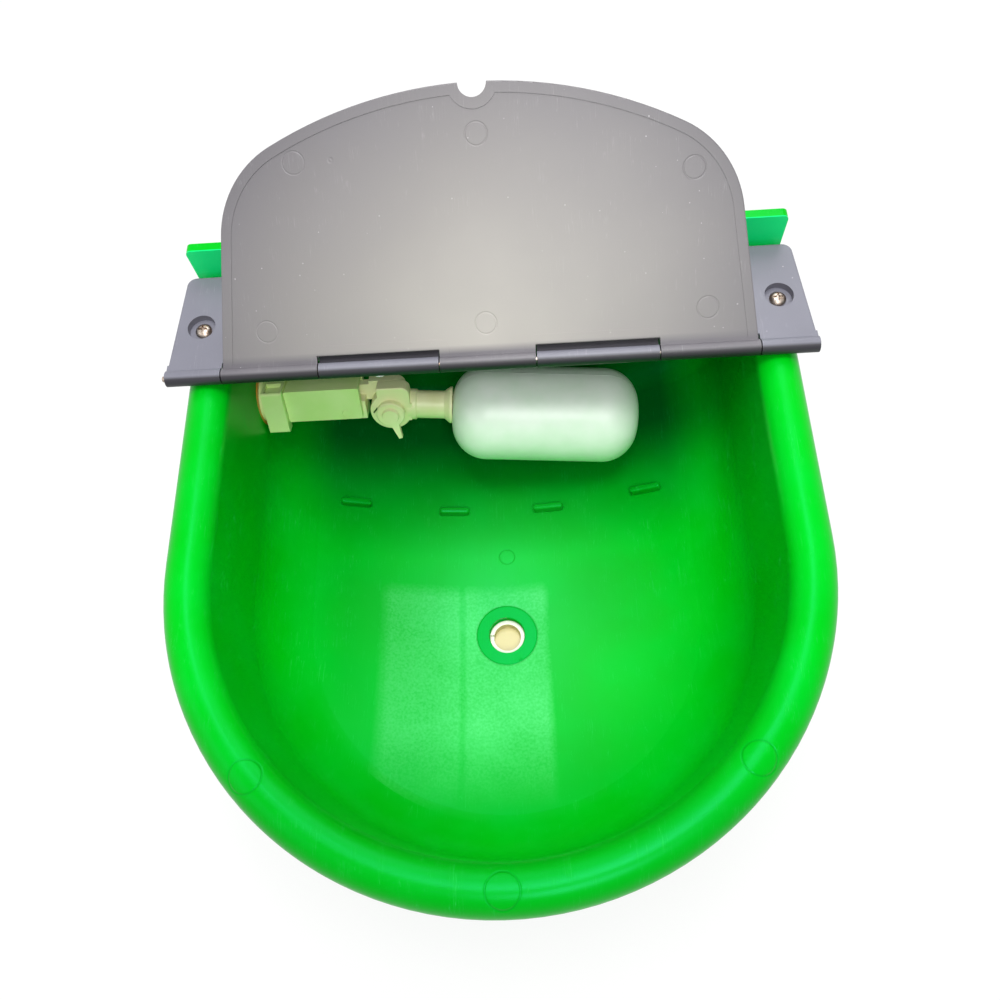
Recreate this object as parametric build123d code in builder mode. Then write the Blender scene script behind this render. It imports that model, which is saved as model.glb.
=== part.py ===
# Livestock drinking bowl: a wall-hung plastic bowl with a float valve behind a hinged flap.
#
# Frame: X to the right of somebody facing the wall, +Y into the wall, +Z up, millimetres.
# The origin is the centre of the four wall screw holes, on the back face of the flange.
# The flap is modelled folded up and back, which is where it stays for cleaning.
from build123d import *
import math
import os

os.makedirs("parts", exist_ok=True)

# Wall flange and its four screw holes
hole_span_x = 220.0
hole_span_z = 122.0
hole_r = 3.25
flange_t = 5.0
flange_in = 1.5
flange_edge = 9.5
flange_corner = 3.0
gusset_x = 62.0
gusset_len = 38.0
gusset_low = 8.0

# Bowl: a round front, two straight sides and a dished floor
bowl_half = 155.0
round_y = -165.0
rim_drop = 16.5
wall = 3.5
lip_w = 21.5
lip_rise = 3.0
skirt_h = 9.0
bowl_deep = 121.0
dish_rise = 38.62
corner_r = 40.0
back_r = 18.0
draft = 3.5

# Drain in the floor, with a screw plug from below
drain_y = -172.0
drain_r = 10.5
drain_ring_r = 17.5
drain_ring_h = 1.2
drain_boss_r = 15.0
drain_boss_h = 9.0
plug_fit = 0.35
plug_head_r = 17.0
plug_head_h = 6.0
plug_wall = 2.4
plug_deep = 4.0
plug_cup = 6.0
plug_notch = 3.6
gasket_t = 2.0

# Hinge line of the flap
hinge_y = -69.3
hinge_up = 7.4
barrel_r = 4.0
pin_r = 1.5
pin_fit = 0.07
pin_out = 2.2
pin_cap = 3.0
barrel_over = 6.6
joint_in = 21.7
outer_joint = 84.4
inner_joint = 24.0
joint_gap = 0.3

# Cover plate over the float chamber
plate_t = 3.0
plate_up = 9.3
plate_over = 2.1
plate_back = -8.3
plate_corner = 5.0
plate_skirt_h = 9.0
plate_skirt_t = 1.5
stop_reach = 6.4
rib_h = 5.0
rib_t = 2.0
screw_in = 8.4
screw_y = -40.1
cup_r = 9.0
cup_in_r = 7.2
cup_floor = 2.0
screw_head_r = 4.2
screw_head_h = 2.6
cross_w = 1.1
cross_len = 4.6
screw_r = 1.9
screw_len = 14.0
pilot_r = 1.95
seat_pad_t = 2.4

# Flap: a D-shaped plate, folded back past the upright
flap_angle = 39.9
flap_len = 127.8
flap_in = 0.5
flap_taper = 0.1233
flap_crown_r = 220.0
flap_corner_r = 50.0
flap_t = 2.4
flap_slot = 3.2
flap_border = 5.0
flap_sink = 0.3
notch_r = 6.7
closed_lean = 13.0
stop_len = 14.0
stop_w = 3.5
stop_h = 5.0
stop_xs = (28.0, 85.0)

# Float valve through the left wall; it hangs turned about its own inlet
inlet_y = -46.0
inlet_drop = 52.5
inlet_sink = 1.84
valve_turn = 25.0
pad_r = 19.0
pad_t = 5.8
thread_r = 10.4
thread_fit = 0.5
thread_len = 31.0
inlet_end_r = 10.1
inlet_end_out = 0.5
inlet_bore_r = 5.0
gasket_in_t = 1.4
gasket_in_r = 15.5
washer_r = 16.5
collar_r = 13.0
collar_t = 2.4
neck_half = 7.5
clip_w = 11.4
clip_fit = 0.25
clip_front = 14.5
clip_back = 12.0
clip_top = 11.5
clip_low = 15.0
clip_wall = 1.5
pocket_d = 9.0
body_len = 41.9
body_half = 11.0
body_high = 10.0
nut_t = 8.0
nut_flats = 27.0
washer_t = 1.5

# Nozzle, plunger and its rubber
chamber_in = 5.6
chamber_r = 6.6
nozzle_r = 4.2
nozzle_len = 7.0
outflow_w = 8.0
outflow_len = 12.0
flute_r = 1.3
nozzle_head_r = 5.6
nozzle_head_t = 1.5
nozzle_tip = 2.0
orifice_r = 1.8
seal_r = 4.6
seal_t = 3.0
seal_out = 1.0
plunger_r = 6.3
slide_gap = 0.3

# Lever, arm and float; the arm hangs a little below level
pivot_end = 8.75
pivot_low = 6.2
lever_pin_r = 2.5
lever_rise = 6.0
nose_r = 3.0
nose_back = 1.6
lever_boss_r = 4.6
cheek = 4.5
cheek_gap = 0.3
float_swing = 15.0
hub_x = 24.8
hub_low = 2.1
hub_r = 11.8
lever_hub_r = 8.6
lever_face = -1.0
lever_out = 10.5
lever_deep = 7.0
lever_low = 0.9
lever_step = 11.0
lever_link = 13.0
lever_top = 6.8
lever_tail = 8.3
pin_proud = 0.1
slot_room = 4.4
neck_high = 11.0
block_left = 6.5
block_right = 11.3
block_top = 7.1
block_round = 4.5
knuckle_t = 9.0
face_gap = 0.3
arm_drop = 5.3
socket_r = 8.8
socket_in = 9.15
socket_len = 5.2
stem_r = 8.0
stem_len = 15.5
stem_step = 2.0
spigot_len = 5.0
stem_flare = 10.5
flare_len = 4.6
float_r = 27.2
float_room = 52.4
float_end_r = 20.0
float_low = 4.6
float_wall = 1.6
float_neck_r = 5.0
clamp_r = 2.9
clamp_fit = 0.2
clamp_head_r = 8.0
clamp_head_t = 3.7
clamp_cap_r = 5.0
clamp_cap_t = 1.8
tail_len = 16.6
tail_w = 6.2
tail_tip = 2.1
tail_t = 3.0
tail_rise = 0.6
tail_angle = -77.0
clamp_nut_flats = 10.0
clamp_nut_t = 4.0

# Heights and places that follow from the sizes above
flange_top = hole_span_z / 2 + flange_edge
rim_z = hole_span_z / 2 - rim_drop
floor_z = rim_z - bowl_deep
flange_low = floor_z - wall - 1.5
lip_r = lip_w / 2
lip_z = rim_z + lip_rise - lip_r
cavity_half = bowl_half - lip_w
dish_r = (cavity_half**2 + dish_rise**2) / (2 * dish_rise)
flange_half = bowl_half - flange_in
barrel_end = bowl_half + barrel_over
end_joint = bowl_half - joint_in
flap_half = end_joint - flap_in
plate_back_half = bowl_half + plate_over
screw_x = bowl_half - screw_in
hinge_z = rim_z + hinge_up
plate_top = rim_z + plate_up
plate_low = plate_top - plate_t
draft_sin = math.sin(math.radians(draft))
draft_cos = math.cos(math.radians(draft))
pin_bore = pin_r + pin_fit
screw_seat = rim_z + lip_rise + joint_gap
inlet_z = rim_z - inlet_drop
inlet_x = (lip_z - inlet_z) * math.tan(math.radians(draft)) - cavity_half - inlet_sink
drain_seat_z = floor_z + drain_ring_h
neck_u = gasket_in_t + collar_t
body_u = neck_u + clip_w + clip_fit
chamber_u = body_u + chamber_in
pivot_u = body_u + body_len - pivot_end
slot_u = pivot_u - lever_boss_r - slot_room
slot_half = body_half - cheek
lever_back = slot_half - cheek_gap
hub_u = pivot_u + hub_x
hub_w = -pivot_low - hub_low
plunger_end_u = pivot_u - nose_back - nose_r - slide_gap
plunger_stroke = lever_rise * math.sin(math.radians(float_swing))
seal_u = chamber_u + nozzle_head_t + nozzle_tip + slide_gap + plunger_stroke
heel_h = pivot_low + body_high - cheek / 3 - cheek_gap
pocket_h = clip_top - neck_half - clip_fit - clip_wall
knuckle_back = lever_face + face_gap
clamp_seat = knuckle_back + knuckle_t + face_gap
stem_s = socket_in + socket_len
float_s = stem_s + stem_len + flare_len
float_reach = cavity_half - float_room - inlet_x - hub_u
float_len = float_reach / math.cos(math.radians(arm_drop)) - float_s
boss_low = floor_z - wall - drain_boss_h
valve_facing = Vector(0, -math.cos(math.radians(valve_turn)), math.sin(math.radians(valve_turn)))
valve_up = Vector(0, math.sin(math.radians(valve_turn)), math.cos(math.radians(valve_turn)))
arm_way = Vector(math.cos(math.radians(arm_drop)), 0, 0) + valve_up * -math.sin(math.radians(arm_drop))
centre_line = Axis((0, round_y, 0), (0, 0, -1))
section_plane = Plane(origin=(0, round_y, 0), x_dir=(1, 0, 0), z_dir=(0, -1, 0))


def floor_height(x):
    """Height of the inside of the floor at a distance x from the middle."""
    return floor_z + dish_r - math.sqrt(dish_r**2 - x**2)


def corner_centre():
    """Centre of the round between the side and the floor, in the section's own x and z."""
    reach = cavity_half * draft_cos - lip_z * draft_sin - corner_r
    low = floor_z + dish_r
    half = reach * draft_sin - low * draft_cos**2
    rest = reach**2 + draft_cos**2 * (low**2 - (dish_r - corner_r) ** 2)
    z = -half - math.sqrt(half**2 - rest)
    return Vector((reach + z * draft_sin) / draft_cos, z)


def tub_half(grow):
    """Right half of the bowl's section, all of its faces moved outwards by grow."""
    dish_centre = Vector(0, floor_z + dish_r)
    corner = corner_centre()
    to_side = Vector(draft_cos, -draft_sin)
    to_floor = (corner - dish_centre).normalized()
    side_end = corner + to_side * (corner_r + grow)
    corner_mid = corner + (to_side + to_floor).normalized() * (corner_r + grow)
    floor_end = corner + to_floor * (corner_r + grow)
    floor_mid = dish_centre + (to_floor + Vector(0, -1)).normalized() * (dish_r + grow)
    with BuildSketch() as section:
        with BuildLine():
            Polyline((0, floor_z - grow), (0, lip_z), (cavity_half + grow / draft_cos, lip_z), side_end)
            ThreePointArc(side_end, corner_mid, floor_end)
            ThreePointArc(floor_end, floor_mid, (0, floor_z - grow))
        make_face()
    return section.sketch


def lip_half():
    """Right half of the rolled lip's section: a half round with a skirt on its outside."""
    with BuildSketch() as section:
        with Locations((bowl_half - lip_r, lip_z)):
            Circle(lip_r)
            Circle(lip_r - wall, mode=Mode.SUBTRACT)
        with Locations((bowl_half - lip_r, lip_z - lip_r)):
            Rectangle(2 * lip_w, 2 * lip_r, mode=Mode.SUBTRACT)
        with Locations((bowl_half - wall / 2, lip_z - skirt_h / 2)):
            Rectangle(wall, skirt_h)
    return section.sketch


def below_lip(edge):
    """True for an edge of the tub's back wall that isn't its top edge."""
    return edge.center().Z < lip_z - 1


def stop_plane(x):
    """The top of a flap stop, level with the slope of the floor, just behind the closed flap."""
    lean = math.radians(closed_lean)
    top = floor_height(x) + stop_h
    y = hinge_y - (hinge_z - top) * math.tan(lean) + (flap_t / 2 + joint_gap) / math.cos(lean) + stop_w / 2
    slope = math.asin(x / dish_r)
    return Plane(origin=(x, y, top), x_dir=(math.cos(slope), 0, math.sin(slope)), z_dir=(-math.sin(slope), 0, math.cos(slope)))


def plate_half(y):
    """Half width of the cover plate, which narrows from the hinge line to the wall."""
    share = (y - hinge_y) / (plate_back - hinge_y)
    return barrel_end + share * (plate_back_half - barrel_end)


def flap_plane(rise):
    """The flap's own plane at a height over its middle: x across, y away from the hinge."""
    turn = math.radians(flap_angle)
    facing = Vector(0, -math.sin(turn), math.cos(turn))
    return Plane(origin=Vector(0, hinge_y, hinge_z) + facing * rise, x_dir=(1, 0, 0), z_dir=facing)


def flap_shape():
    """The D outline with the tip notch, and the slots that clear the fixed knuckles."""
    with BuildSketch() as shape:
        with BuildLine():
            Polyline(
                (-flap_half, 0),
                (flap_half, 0),
                (flap_half - flap_len * flap_taper, flap_len),
                (flap_len * flap_taper - flap_half, flap_len),
                close=True,
            )
        make_face()
        with Locations((0, flap_len - flap_crown_r)):
            Circle(flap_crown_r, mode=Mode.INTERSECT)
        fillet(shape.vertices().group_by(Axis.Y)[-1], flap_corner_r)
        with Locations((0, flap_len)):
            Circle(notch_r, mode=Mode.SUBTRACT)
        for low, high in spans((inner_joint - joint_gap, outer_joint + joint_gap)):
            with Locations(((low + high) / 2, 0)):
                Rectangle(high - low, 2 * (barrel_r + flap_slot), mode=Mode.SUBTRACT)
    return shape.sketch


def x_plane(x, y, z):
    """A plane that faces along +X at a point."""
    return Plane(origin=(x, y, z), x_dir=(0, 1, 0), z_dir=(1, 0, 0))


def valve_plane(out):
    """The plane that the float swings in, moved out by a distance: x along the inlet, y up the valve."""
    origin = Vector(inlet_x, inlet_y, inlet_z) + valve_facing * out
    return Plane(origin=origin, x_dir=(1, 0, 0), z_dir=valve_facing)


def bore_plane(u):
    """A plane across the inlet's axis at a distance u in from the wall pad: y up the valve."""
    return Plane(origin=(inlet_x + u, inlet_y, inlet_z), x_dir=valve_facing * -1, z_dir=(1, 0, 0))


def arm_plane(out):
    """The swing plane turned so that x runs along the float's arm, from the clamp screw."""
    start = valve_plane(out).from_local_coords(Vector(hub_u, hub_w))
    return Plane(origin=start, x_dir=arm_way, z_dir=valve_facing)


def arm_cross(s):
    """A plane across the arm at a distance s from the clamp screw."""
    return Plane(origin=arm_plane(0).origin + arm_way * s, x_dir=valve_facing * -1, z_dir=arm_way)


def arm_axis(rise):
    """A line along the arm, moved up the swing plane by rise."""
    return Axis(arm_plane(0).from_local_coords(Vector(0, rise)), arm_way)


def bottle_half(inside):
    """Half section of the float, its faces moved in by a wall: a bar with two round corners."""
    length = float_len - 2 * inside
    with BuildSketch() as section:
        with Locations((float_s + inside, -float_low)):
            Rectangle(length, float_r - inside, align=Align.MIN)
        fillet(section.vertices().group_by(Axis.Y)[-1], float_end_r - inside)
    return section.sketch


def spans(side):
    """The two mirrored lengths of a stretch of the hinge line."""
    low, high = side
    return [(low, high), (-high, -low)]


fixed_knuckles = spans((end_joint + joint_gap, barrel_end)) + spans((inner_joint + joint_gap, outer_joint - joint_gap))
flap_knuckles = spans((outer_joint + joint_gap, end_joint - joint_gap))
flap_knuckles += [(-inner_joint + joint_gap, inner_joint - joint_gap)]

# Bowl: the space inside it, made first as a solid of its own, with the raised features left standing
with BuildPart() as cavity:
    with BuildSketch(section_plane):
        add(tub_half(0))
    revolve(axis=centre_line, revolution_arc=180)
    with BuildSketch(section_plane):
        add(tub_half(0))
        mirror(about=Plane.YZ)
    extrude(amount=round_y + flange_t)
    fillet(cavity.faces().sort_by(Axis.Y)[-1].edges().filter_by(below_lip), back_r)
    with BuildSketch(x_plane(inlet_x, inlet_y, inlet_z)):
        Circle(gasket_in_r + joint_gap)
    extrude(amount=2 * inlet_sink)
    with BuildSketch(Plane.XY.offset(drain_seat_z)):
        with Locations((0, drain_y)):
            Circle(drain_ring_r)
    extrude(amount=-drain_boss_h, mode=Mode.SUBTRACT)
    for x in (-stop_xs[1], -stop_xs[0], stop_xs[0], stop_xs[1]):
        with BuildSketch(stop_plane(x)):
            SlotOverall(stop_len, stop_w)
        extrude(amount=-2 * stop_h, mode=Mode.SUBTRACT)

# Bowl: tub, rolled lip, flange, drain boss, inlet pad and flap stops in one moulding
with BuildPart() as bowl:
    with BuildSketch(section_plane):
        add(tub_half(wall))
    revolve(axis=centre_line, revolution_arc=180)
    with BuildSketch(section_plane):
        add(tub_half(wall))
        mirror(about=Plane.YZ)
    extrude(amount=round_y + wall)
    fillet(bowl.faces().sort_by(Axis.Y)[-1].edges().filter_by(below_lip), back_r + wall)
    with BuildSketch(section_plane):
        add(lip_half())
    revolve(axis=centre_line, revolution_arc=180)
    with BuildSketch(section_plane):
        add(lip_half())
        mirror(about=Plane.YZ)
    extrude(amount=round_y + flange_t)
    with BuildSketch(Plane.XZ) as flange_outline:
        with Locations((0, (flange_top + flange_low) / 2)):
            RectangleRounded(2 * flange_half, flange_top - flange_low, flange_corner)
    extrude(amount=flange_t)
    for x in (-gusset_x, 0, gusset_x):
        with BuildSketch(x_plane(x, 0, 0)):
            with BuildLine():
                Polyline(
                    (-flange_t, flange_low + gusset_low),
                    (-flange_t, flange_low + 3 * gusset_low),
                    (-gusset_len, floor_height(x)),
                    (-gusset_len, floor_height(x) - wall),
                    close=True,
                )
            make_face()
        extrude(amount=wall / 2, both=True)
    with BuildSketch(Plane.XY.offset(floor_z - wall - drain_boss_h)):
        with Locations((0, drain_y)):
            Circle(drain_boss_r)
    extrude(amount=drain_boss_h + wall)
    with Locations((screw_x, screw_y, screw_seat), (-screw_x, screw_y, screw_seat)):
        Cylinder(cup_r - 1, seat_pad_t, align=(Align.CENTER, Align.CENTER, Align.MAX))
        Cylinder(cup_r - 3, screw_len + 3, align=(Align.CENTER, Align.CENTER, Align.MAX))
    with BuildSketch(x_plane(inlet_x, inlet_y, inlet_z)):
        Circle(pad_r)
    extrude(amount=-pad_t)
    add(cavity.part, mode=Mode.SUBTRACT)
    with BuildSketch(Plane.XZ):
        with GridLocations(hole_span_x, hole_span_z, 2, 2):
            Circle(hole_r)
    extrude(amount=2 * flange_t, both=True, mode=Mode.SUBTRACT)
    with BuildSketch(x_plane(inlet_x, inlet_y, inlet_z)):
        Circle(thread_r + thread_fit)
    extrude(amount=-2 * pad_t, mode=Mode.SUBTRACT)
    with BuildSketch(Plane.XY.offset(floor_z - wall - drain_boss_h)):
        with Locations((0, drain_y)):
            Circle(drain_r)
    extrude(amount=drain_boss_h + wall + 2 * drain_ring_h, mode=Mode.SUBTRACT)
    with Locations((screw_x, screw_y, screw_seat), (-screw_x, screw_y, screw_seat)):
        Cylinder(pilot_r, screw_len + 1, align=(Align.CENTER, Align.CENTER, Align.MAX), mode=Mode.SUBTRACT)

bowl.part.label = "bowl"
export_step(bowl.part, "parts/bowl.step")

# Cover plate: a flat moulding with side skirts, two screw cups and the fixed hinge knuckles
with BuildPart() as cover_plate:
    edge_y = hinge_y + stop_reach + joint_gap
    with BuildSketch(Plane.XY.offset(plate_low)) as plate_outline:
        with BuildLine():
            Polyline(
                (-plate_half(edge_y), edge_y),
                (plate_half(edge_y), edge_y),
                (plate_back_half, plate_back),
                (-plate_back_half, plate_back),
                close=True,
            )
        make_face()
        fillet(plate_outline.vertices().group_by(Axis.Y)[-1], plate_corner)
    extrude(amount=plate_t)
    fillet(cover_plate.faces().sort_by(Axis.Z)[-1].edges().filter_by(lambda e: e.center().Y > edge_y + 1), 0.8)
    with BuildSketch(Plane.XY.offset(plate_low)) as skirt_outline:
        add(plate_outline.sketch)
        offset(plate_outline.sketch, amount=-plate_skirt_t, mode=Mode.SUBTRACT)
        with Locations((0, plate_back)):
            Rectangle(2 * plate_back_half, 2 * plate_corner + 4 * plate_skirt_t, mode=Mode.SUBTRACT)
        with Locations((0, edge_y)):
            Rectangle(2 * barrel_end - 4 * plate_skirt_t, 6 * plate_skirt_t, mode=Mode.SUBTRACT)
    extrude(amount=-plate_skirt_h)
    for side in (-1, 1):
        with Locations((side * screw_x, screw_y, plate_top)):
            Cylinder(cup_r, plate_top - screw_seat, align=(Align.CENTER, Align.CENTER, Align.MAX))
            Cylinder(cup_in_r, plate_top - screw_seat - cup_floor, align=(Align.CENTER, Align.CENTER, Align.MAX), mode=Mode.SUBTRACT)
            Cylinder(screw_r + joint_gap, plate_t * 4, mode=Mode.SUBTRACT)
    for x in (-outer_joint, 0, outer_joint):
        with Locations((x, (edge_y + plate_back) / 2, plate_low)):
            Box(rib_t, plate_back - edge_y - 4 * rib_t, rib_h, align=(Align.CENTER, Align.CENTER, Align.MAX))
    for low, high in fixed_knuckles:
        with BuildSketch(x_plane(low, hinge_y, hinge_z)):
            Circle(barrel_r)
        extrude(amount=high - low)
        with BuildSketch(Plane.XY.offset(plate_low)):
            with Locations(((low + high) / 2, (hinge_y + edge_y) / 2)):
                Rectangle(high - low, edge_y - hinge_y)
        extrude(amount=plate_t)
    with BuildSketch(x_plane(-barrel_end, hinge_y, hinge_z)):
        Circle(pin_bore)
    extrude(amount=2 * barrel_end - pin_cap, mode=Mode.SUBTRACT)

# Two pan-head screws that hold the cover plate down on the rim
with BuildPart() as cover_screws:
    for side in (-1, 1):
        with BuildSketch(Plane(origin=(side * screw_x, screw_y, screw_seat + cup_floor), x_dir=(1, 0, 0), z_dir=(0, -1, 0))):
            with BuildLine():
                Polyline((0, screw_head_h), (0, -screw_len), (screw_r / 2, -screw_len), (screw_r, -screw_len + 2 * screw_r))
                Polyline((screw_r, -screw_len + 2 * screw_r), (screw_r, 0), (screw_head_r, 0), (screw_head_r, screw_head_h / 3))
                ThreePointArc(
                    (screw_head_r, screw_head_h / 3),
                    (screw_head_r * 0.66, screw_head_h * 0.86),
                    (0, screw_head_h),
                )
            make_face()
        revolve(axis=Axis((side * screw_x, screw_y, 0), (0, 0, 1)))
    with Locations((screw_x, screw_y, screw_seat + cup_floor + screw_head_h), (-screw_x, screw_y, screw_seat + cup_floor + screw_head_h)):
        Box(cross_w, cross_len, screw_head_h, mode=Mode.SUBTRACT)
        Box(cross_len, cross_w, screw_head_h, mode=Mode.SUBTRACT)

# Hinge pin: it runs through every knuckle and shows at the left end only
with BuildPart() as hinge_pin:
    with BuildSketch(x_plane(-barrel_end - pin_out, hinge_y, hinge_z)):
        Circle(pin_r)
    extrude(amount=2 * barrel_end + pin_out - pin_cap - joint_gap)
    chamfer(hinge_pin.edges().filter_by(GeomType.CIRCLE), 0.4)

# Flap: drawn flat in its own plane, x across and y away from the hinge
with BuildPart() as flap:
    with BuildSketch(flap_plane(-flap_t / 2)) as flap_outline:
        add(flap_shape())
    extrude(amount=flap_t)
    flap_top = flap.faces().sort_by(Axis(flap_plane(0).origin, flap_plane(0).z_dir))[-1]
    fillet(flap_top.edges().filter_by(lambda e: e.length > 4 * notch_r), 0.6)
    with BuildSketch(flap_plane(flap_t / 2)):
        add(flap_shape())
        offset(amount=-flap_border, mode=Mode.INTERSECT)
    extrude(amount=-flap_sink, mode=Mode.SUBTRACT)
    for low, high in flap_knuckles:
        with BuildSketch(x_plane(low, hinge_y, hinge_z)):
            Circle(barrel_r)
        extrude(amount=high - low)
        with BuildSketch(Plane.XY.offset(plate_low)):
            with Locations(((low + high) / 2, hinge_y + stop_reach / 2)):
                Rectangle(high - low - 2 * rib_t, stop_reach)
        extrude(amount=plate_t)
    with BuildSketch(x_plane(-end_joint, hinge_y, hinge_z)):
        Circle(pin_bore)
    extrude(amount=2 * end_joint, mode=Mode.SUBTRACT)

cover_plate.part.label = "cover_plate"
export_step(cover_plate.part, "parts/cover_plate.step")
cover_screws.part.label = "cover_screws"
export_step(cover_screws.part, "parts/cover_screws.step")
hinge_pin.part.label = "hinge_pin"
export_step(hinge_pin.part, "parts/hinge_pin.step")
flap.part.label = "flap"
export_step(flap.part, "parts/flap.step")

# Valve body: threaded inlet, collar, square neck and the housing with its two cheeks
with BuildPart() as valve_body:
    with BuildSketch(bore_plane(-thread_len)):
        Circle(inlet_end_r)
    extrude(amount=thread_len)
    with BuildSketch(bore_plane(-pad_t - washer_t - nut_t - inlet_end_out)):
        Circle(thread_r)
    extrude(amount=pad_t + washer_t + nut_t + inlet_end_out + neck_u)
    with BuildSketch(bore_plane(gasket_in_t)):
        Circle(collar_r)
    extrude(amount=collar_t)
    with BuildSketch(bore_plane(neck_u)):
        Rectangle(2 * neck_half, 2 * neck_half)
    extrude(amount=body_u - neck_u)
    with BuildSketch(valve_plane(-body_half)):
        with Locations((body_u + body_len / 2, 0)):
            RectangleRounded(body_len, 2 * body_high, 1.2)
    extrude(amount=2 * body_half)
    with BuildSketch(bore_plane(-thread_len)):
        Circle(inlet_bore_r)
    extrude(amount=thread_len + chamber_u - nozzle_len, mode=Mode.SUBTRACT)
    with BuildSketch(bore_plane(chamber_u - nozzle_len)):
        Circle(nozzle_r)
    extrude(amount=nozzle_len, mode=Mode.SUBTRACT)
    with BuildSketch(bore_plane(chamber_u)):
        Circle(chamber_r)
    extrude(amount=slot_u - chamber_u + 1, mode=Mode.SUBTRACT)
    with BuildSketch(valve_plane(-slot_half)):
        with Locations((slot_u, -body_high)):
            Rectangle(body_u + body_len - slot_u, 2 * body_high - cheek / 3, align=Align.MIN)
    extrude(amount=2 * slot_half, mode=Mode.SUBTRACT)
    with BuildSketch(valve_plane(-outflow_w / 2)):
        with Locations((chamber_u + 1, -body_high)):
            Rectangle(outflow_len, body_high, align=Align.MIN)
    extrude(amount=outflow_w, mode=Mode.SUBTRACT)
    with BuildSketch(valve_plane(-body_half)):
        with Locations((pivot_u, -pivot_low)):
            Circle(lever_pin_r + pin_fit)
    extrude(amount=2 * body_half, mode=Mode.SUBTRACT)

# Retaining clip: a saddle pushed over the neck, with a pocket in its top and a hollow front leg
with BuildPart() as retaining_clip:
    with BuildSketch(bore_plane(neck_u)) as clip_outline:
        with Locations(((clip_back - clip_front) / 2, (clip_top - clip_low) / 2)):
            RectangleRounded(clip_front + clip_back, clip_top + clip_low, 1.5)
        with Locations((0, (neck_half + clip_fit - clip_low) / 2)):
            Rectangle(2 * (neck_half + clip_fit), neck_half + clip_fit + clip_low, mode=Mode.SUBTRACT)
    extrude(amount=clip_w)
    with BuildSketch(bore_plane(neck_u + clip_wall)):
        with Locations((clip_wall - clip_front, clip_top - pocket_h)):
            Rectangle(pocket_d, pocket_h, align=Align.MIN)
        with Locations((clip_wall - clip_front, -clip_low + clip_wall)):
            Rectangle(clip_front - neck_half - clip_fit - 2 * clip_wall, clip_low + clip_top - clip_wall, align=Align.MIN)
    extrude(amount=clip_w - 2 * clip_wall, mode=Mode.SUBTRACT)

# Inlet gasket inside the wall, washer and locknut outside it
with BuildPart() as inlet_gasket:
    with BuildSketch(bore_plane(0)):
        Circle(gasket_in_r)
        Circle(thread_r + thread_fit, mode=Mode.SUBTRACT)
    extrude(amount=gasket_in_t)

with BuildPart() as inlet_washer:
    with BuildSketch(bore_plane(-pad_t)):
        Circle(washer_r)
        Circle(thread_r + thread_fit / 2, mode=Mode.SUBTRACT)
    extrude(amount=-washer_t)

with BuildPart() as inlet_locknut:
    with BuildSketch(bore_plane(-pad_t - washer_t)):
        RegularPolygon(nut_flats / 2, 6, major_radius=False)
        Circle(thread_r + pin_fit, mode=Mode.SUBTRACT)
    extrude(amount=-nut_t)
    chamfer(inlet_locknut.edges().filter_by(GeomType.CIRCLE), 0.6)

# Nozzle pressed into the housing, with its head against the end of the chamber
with BuildPart() as nozzle:
    with BuildSketch(bore_plane(chamber_u - nozzle_len)):
        Circle(nozzle_r - pin_fit)
    extrude(amount=nozzle_len)
    with BuildSketch(bore_plane(chamber_u)):
        Circle(nozzle_head_r)
    extrude(amount=nozzle_head_t)
    with BuildSketch(bore_plane(chamber_u + nozzle_head_t)):
        Circle(orifice_r + 1.6)
    extrude(amount=nozzle_tip, taper=15)
    with BuildSketch(bore_plane(chamber_u - nozzle_len)):
        Circle(orifice_r)
    extrude(amount=nozzle_len + nozzle_head_t + nozzle_tip, mode=Mode.SUBTRACT)

# Plunger with the rubber that closes the nozzle; both slide along the inlet's axis
with BuildPart() as plunger_seal:
    with BuildSketch(bore_plane(seal_u)):
        Circle(seal_r)
    extrude(amount=seal_t)

with BuildPart() as plunger:
    with BuildSketch(bore_plane(seal_u + seal_out)):
        Circle(plunger_r)
    extrude(amount=plunger_end_u - seal_u - seal_out)
    with BuildSketch(bore_plane(seal_u + seal_out)):
        Circle(seal_r + pin_fit)
    extrude(amount=seal_t - seal_out, mode=Mode.SUBTRACT)
    with BuildSketch(bore_plane(seal_u + seal_out)):
        with PolarLocations(plunger_r, 4, start_angle=45):
            Circle(flute_r)
    extrude(amount=plunger_end_u - seal_u, mode=Mode.SUBTRACT)

# Lever: a nose over the pivot that pushes the plunger, and a plate that carries the arm
with BuildPart() as lever:
    with BuildSketch(valve_plane(-slot_half + cheek_gap)):
        with Locations((pivot_u, -pivot_low)):
            Circle(lever_boss_r)
            with Locations((-nose_back, lever_rise)):
                Circle(nose_r)
            with Locations((-nose_back - 1, 0)):
                Rectangle(nose_back + 2.4, heel_h, align=Align.MIN)
            with Locations((0, -lever_deep)):
                Rectangle(lever_out, lever_deep + lever_boss_r, align=Align.MIN)
    extrude(amount=2 * (slot_half - cheek_gap))
    with BuildSketch(valve_plane(-lever_back)) as lever_plate:
        with BuildLine():
            Polyline(
                (pivot_u, lever_low - pivot_low),
                (pivot_u, lever_step - pivot_low),
                (pivot_u + lever_link, lever_step - pivot_low),
                (pivot_u + lever_link, lever_top),
                (hub_u + lever_tail, lever_top),
                (hub_u + lever_tail, hub_w),
                (hub_u, hub_w - lever_hub_r),
                (hub_u - lever_hub_r, lever_low - pivot_low),
                close=True,
            )
        make_face()
        fillet(lever_plate.vertices().sort_by(Axis.Y)[-2:].sort_by(Axis.X)[-1], block_round)
        with Locations((hub_u, hub_w)):
            Circle(lever_hub_r)
    extrude(amount=lever_back + lever_face)
    with BuildSketch(valve_plane(-lever_back)):
        with Locations((pivot_u, -pivot_low)):
            Circle(lever_pin_r + pin_fit)
        with Locations((hub_u, hub_w)):
            Circle(clamp_r + clamp_fit)
    extrude(amount=2 * lever_back, mode=Mode.SUBTRACT)

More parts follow.
